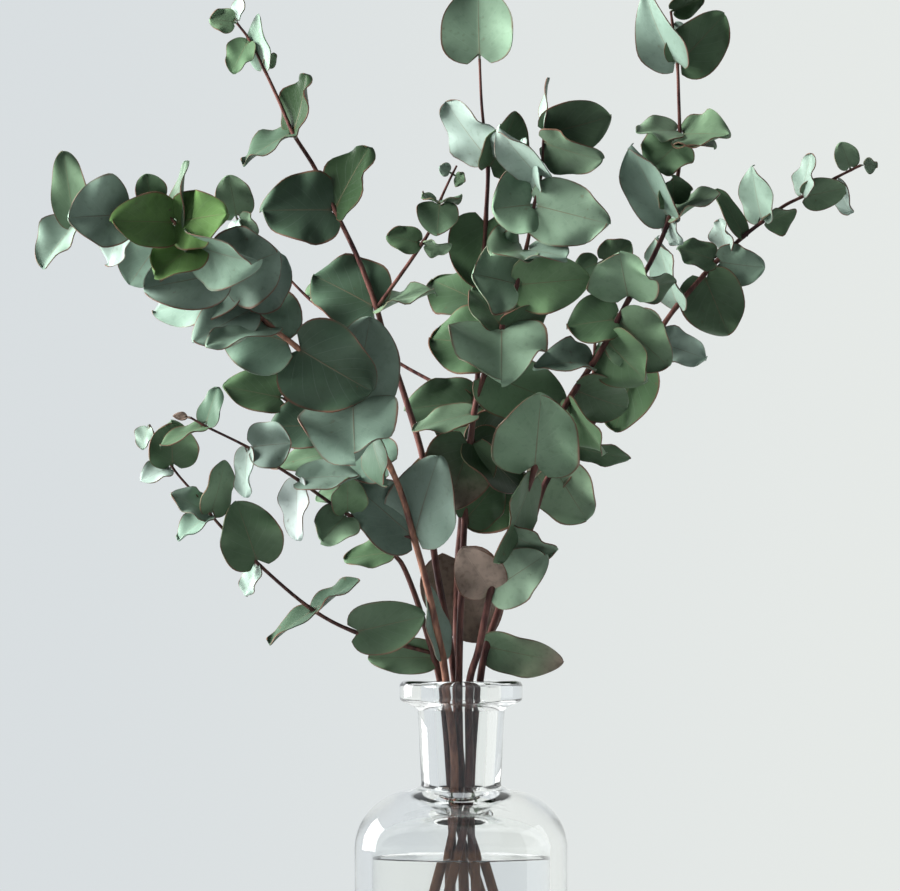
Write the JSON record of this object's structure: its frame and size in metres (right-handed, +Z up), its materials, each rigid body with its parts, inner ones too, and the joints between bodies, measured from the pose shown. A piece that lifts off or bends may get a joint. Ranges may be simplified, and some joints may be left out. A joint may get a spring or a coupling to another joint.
{
  "type": "eucalyptus branches in a glass bottle",
  "caption": "Leafy silver-dollar eucalyptus stems fanning out of a clear round-shouldered glass bottle of water, for a table or shelf.",
  "frame": {"origin": "centre of the bottle's flat underside", "axes": "+Z up along the bottle's axis, -Y towards the viewer of the picture, +X to the viewer's right"},
  "size_m": [0.3928, 0.1769, 0.527],
  "materials": {
    "glass": "clear, glossy",
    "water": "clear, glossy",
    "leaf_green": "waxy, satin",
    "leaf_blue_green": "waxy with a pale bloom"
  },
  "bodies": {
    "root": {"bottle": "glass", "water": "water", "stem_left_tall": "leaf_blue_green", "stem_left_front": "leaf_green", "stem_left_low": "leaf_green", "stem_centre_back": "leaf_blue_green", "stem_centre_front": "leaf_green", "stem_right_tall": "leaf_green", "stem_right_far": "leaf_blue_green"}
  },
  "joints": []
}
